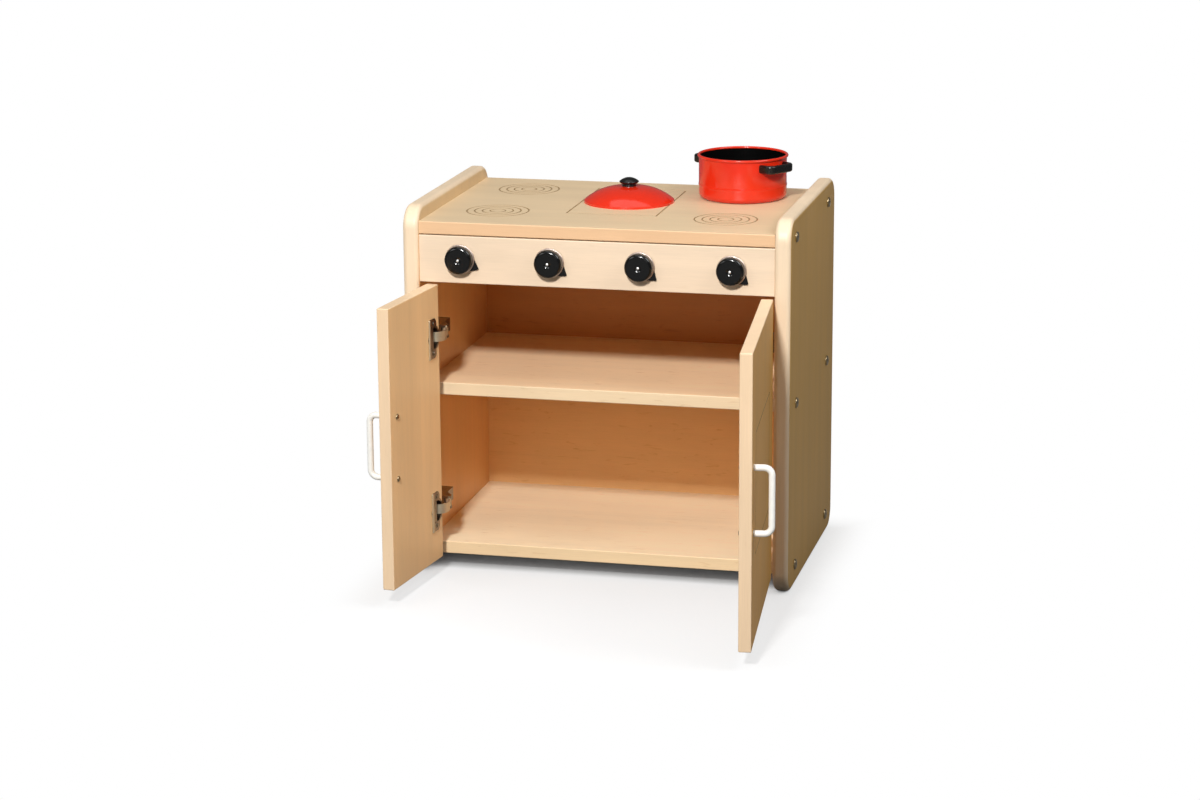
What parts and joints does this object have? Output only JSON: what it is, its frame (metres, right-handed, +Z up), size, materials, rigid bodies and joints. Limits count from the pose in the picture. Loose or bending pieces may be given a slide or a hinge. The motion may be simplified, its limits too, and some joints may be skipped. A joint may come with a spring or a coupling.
{
  "type": "toy oven",
  "caption": "Child's wooden play cooker with engraved hob rings, turning knobs, two hinged doors over a shelved cupboard, and a red pot with a separate lid",
  "frame": {"origin": "the centre of the cabinet's footprint, 600 mm wide and 410 mm deep, on the floor it stands on", "axes": "+X to the right as the cook sees it, +Y to the back of the cabinet, +Z up; the doors stand open at rest"},
  "size_m": [0.6515, 0.7646, 0.628],
  "materials": {
    "maple_carcass": "satin clear lacquer",
    "maple_back": "satin clear lacquer",
    "maple_doors": "satin clear lacquer",
    "bolt_steel": "plated",
    "knob_black": "polished",
    "skirt_metal": "satin",
    "spindle_steel": "plain",
    "white_coat": "gloss",
    "hinge_nickel": "nickel plated",
    "red_enamel": "gloss enamel",
    "cool_grip": "smooth",
    "lid_screw_steel": "plain"
  },
  "bodies": {
    "cabinet": {"left_side_panel": "maple_carcass", "right_side_panel": "maple_carcass", "hob_top": "maple_carcass", "control_panel": "maple_carcass", "shelf": "maple_carcass", "bottom_board": "maple_carcass", "back_panel": "maple_back", "left_side_bolts": "bolt_steel", "right_side_bolts": "bolt_steel", "back_screws": "bolt_steel", "left_lower_hinge_plate": "hinge_nickel", "left_lower_hinge_arm": "hinge_nickel", "left_upper_hinge_plate": "hinge_nickel", "left_upper_hinge_arm": "hinge_nickel", "right_lower_hinge_plate": "hinge_nickel", "right_lower_hinge_arm": "hinge_nickel", "right_upper_hinge_plate": "hinge_nickel", "right_upper_hinge_arm": "hinge_nickel", "left_plate_screws": "hinge_nickel", "right_plate_screws": "hinge_nickel"},
    "pot": {"pot_body": "red_enamel", "pot_front_handle": "cool_grip", "pot_rear_handle": "cool_grip"},
    "lid": {"lid_cover": "red_enamel", "lid_knob": "cool_grip", "lid_screw": "lid_screw_steel"},
    "left_door": {"left_door_panel": "maple_doors", "left_door_handle": "white_coat", "left_handle_screws": "bolt_steel", "left_lower_hinge_cup": "hinge_nickel", "left_upper_hinge_cup": "hinge_nickel", "left_cup_screws": "hinge_nickel"},
    "left_link": {"left_hinge_links": "hinge_nickel"},
    "right_door": {"right_door_panel": "maple_doors", "right_door_handle": "white_coat", "right_handle_screws": "bolt_steel", "right_lower_hinge_cup": "hinge_nickel", "right_upper_hinge_cup": "hinge_nickel", "right_cup_screws": "hinge_nickel"},
    "right_link": {"right_hinge_links": "hinge_nickel"},
    "knob_1": {"knob_1_cap": "knob_black", "knob_1_skirt": "skirt_metal", "knob_1_spindle": "spindle_steel", "knob_1_nut": "spindle_steel"},
    "knob_2": {"knob_2_cap": "knob_black", "knob_2_skirt": "skirt_metal", "knob_2_spindle": "spindle_steel", "knob_2_nut": "spindle_steel"},
    "knob_3": {"knob_3_cap": "knob_black", "knob_3_skirt": "skirt_metal", "knob_3_spindle": "spindle_steel", "knob_3_nut": "spindle_steel"},
    "knob_4": {"knob_4_cap": "knob_black", "knob_4_skirt": "skirt_metal", "knob_4_spindle": "spindle_steel", "knob_4_nut": "spindle_steel"}
  },
  "joints": [
    {"name": "left_door_swing", "type": "hinge", "parent": "cabinet", "child": "left_door", "pos_m": [-0.2695, -0.2024, 0.245], "axis": [0, 0, 1], "range_deg": [-2, 96.7]},
    {"name": "left_link_swing", "type": "hinge", "parent": "cabinet", "child": "left_link", "pos_m": [-0.244, -0.1716, 0.245], "axis": [0, 0, 1], "range_deg": [-2, 96.7]},
    {"name": "right_door_swing", "type": "hinge", "parent": "cabinet", "child": "right_door", "pos_m": [0.2772, -0.2002, 0.245], "axis": [0, 0, -1], "range_deg": [-2, 95.7]},
    {"name": "right_link_swing", "type": "hinge", "parent": "cabinet", "child": "right_link", "pos_m": [0.244, -0.1716, 0.245], "axis": [0, 0, -1], "range_deg": [-2, 95.7]},
    {"name": "knob_1_turn", "type": "hinge", "parent": "cabinet", "child": "knob_1", "pos_m": [-0.21, -0.199, 0.502], "axis": [0, -1, 0], "continuous": true},
    {"name": "knob_2_turn", "type": "hinge", "parent": "cabinet", "child": "knob_2", "pos_m": [-0.07, -0.199, 0.502], "axis": [0, -1, 0], "continuous": true},
    {"name": "knob_3_turn", "type": "hinge", "parent": "cabinet", "child": "knob_3", "pos_m": [0.07, -0.199, 0.502], "axis": [0, -1, 0], "continuous": true},
    {"name": "knob_4_turn", "type": "hinge", "parent": "cabinet", "child": "knob_4", "pos_m": [0.21, -0.199, 0.502], "axis": [0, -1, 0], "continuous": true},
    {"name": "pot_lift", "type": "slide", "parent": "cabinet", "child": "pot", "axis": [0, 0, 1], "range_m": [0, 0.15]},
    {"name": "lid_lift", "type": "slide", "parent": "cabinet", "child": "lid", "axis": [0, 0, 1], "range_m": [0, 0.15]}
  ],
  "couplings": [
    {"joint": "left_link_swing", "follows": "left_door_swing", "ratio": 1},
    {"joint": "right_link_swing", "follows": "right_door_swing", "ratio": 1}
  ]
}
